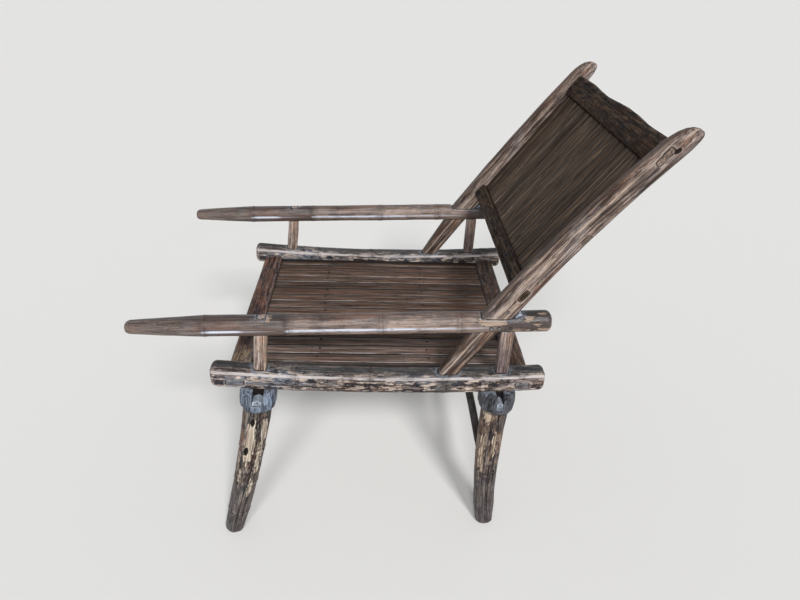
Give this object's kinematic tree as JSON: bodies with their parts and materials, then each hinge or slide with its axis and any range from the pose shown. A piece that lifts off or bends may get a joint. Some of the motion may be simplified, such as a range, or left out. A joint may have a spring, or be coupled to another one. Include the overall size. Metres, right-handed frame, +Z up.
{
  "type": "bamboo lounge chair with lift-out back",
  "caption": "Low bamboo lounge chair with very long pointed arms, a sagging slatted seat, and a steep slatted back that drops through slots in the arms.",
  "frame": {"origin": "middle of the bounding box at floor level", "axes": "+Z up, -Y the way the sitter faces, +X to the left of the sitter"},
  "size_m": [0.5998, 0.9954, 0.9071],
  "materials": {
    "rail_culm": "dark weathered bamboo, worn satin",
    "red_brown_crossrail": "red-brown aged bamboo, satin",
    "seat_slat_skin": "grey-brown split bamboo, dull satin",
    "hidden_batten": "raw split bamboo, matt",
    "polished_arm_culm": "brown bamboo polished by hands, glossy satin",
    "scraped_post": "scraped tan bamboo, satin",
    "leg_culm": "brown bamboo with scraped tan patches, satin",
    "grey_soft_wood": "dusty grey softwood, matt",
    "polished_stile_culm": "tan and grey bamboo, glossy satin",
    "dark_back_rail": "very dark bamboo, worn satin",
    "back_slat_skin": "grey-brown split bamboo, dull satin"
  },
  "bodies": {
    "chair_frame": {"left_seat_rail": "rail_culm", "right_seat_rail": "rail_culm", "front_seat_crossrail": "red_brown_crossrail", "front_seat_batten": "hidden_batten", "rear_seat_crossrail": "red_brown_crossrail", "rear_seat_batten": "hidden_batten", "seat_slat_1": "seat_slat_skin", "seat_slat_2": "seat_slat_skin", "seat_slat_3": "seat_slat_skin", "seat_slat_4": "seat_slat_skin", "seat_slat_5": "seat_slat_skin", "seat_slat_6": "seat_slat_skin", "seat_slat_7": "seat_slat_skin", "seat_slat_8": "seat_slat_skin", "seat_slat_9": "seat_slat_skin", "seat_slat_10": "seat_slat_skin", "seat_slat_11": "seat_slat_skin", "seat_slat_12": "seat_slat_skin", "seat_slat_13": "seat_slat_skin", "seat_slat_14": "seat_slat_skin", "seat_slat_15": "seat_slat_skin", "seat_slat_16": "seat_slat_skin", "front_left_leg": "leg_culm", "front_left_post": "scraped_post", "front_left_leg_key": "grey_soft_wood", "rear_left_leg": "leg_culm", "rear_left_post": "scraped_post", "rear_left_leg_key": "grey_soft_wood", "left_arm": "polished_arm_culm", "front_right_leg": "leg_culm", "front_right_post": "scraped_post", "front_right_leg_key": "grey_soft_wood", "rear_right_leg": "leg_culm", "rear_right_post": "scraped_post", "rear_right_leg_key": "grey_soft_wood", "right_arm": "polished_arm_culm", "rear_leg_stretcher": "rail_culm"},
    "backrest": {"left_back_stile": "polished_stile_culm", "right_back_stile": "polished_stile_culm", "back_bottom_rail": "dark_back_rail", "back_top_rail": "dark_back_rail", "back_batten": "hidden_batten", "back_slat_1": "back_slat_skin", "back_slat_2": "back_slat_skin", "back_slat_3": "back_slat_skin", "back_slat_4": "back_slat_skin", "back_slat_5": "back_slat_skin", "back_slat_6": "back_slat_skin", "back_slat_7": "back_slat_skin", "back_slat_8": "back_slat_skin", "back_slat_9": "back_slat_skin", "back_slat_10": "back_slat_skin", "back_slat_11": "back_slat_skin", "back_slat_12": "back_slat_skin", "back_slat_13": "back_slat_skin", "back_slat_14": "back_slat_skin", "back_slat_15": "back_slat_skin", "back_slat_16": "back_slat_skin"},
    "left_wedge": {"left_stile_wedge": "grey_soft_wood"},
    "right_wedge": {"right_stile_wedge": "grey_soft_wood"}
  },
  "joints": [
    {"name": "backrest_lift", "type": "slide", "parent": "chair_frame", "child": "backrest", "axis": [0, 0.6018, 0.7986], "range_m": [0, 0.22]},
    {"name": "left_wedge_lift", "type": "slide", "parent": "chair_frame", "child": "left_wedge", "axis": [0, 0.6018, 0.7986], "range_m": [0, 0.045]},
    {"name": "right_wedge_lift", "type": "slide", "parent": "chair_frame", "child": "right_wedge", "axis": [0, 0.6018, 0.7986], "range_m": [0, 0.045]}
  ]
}
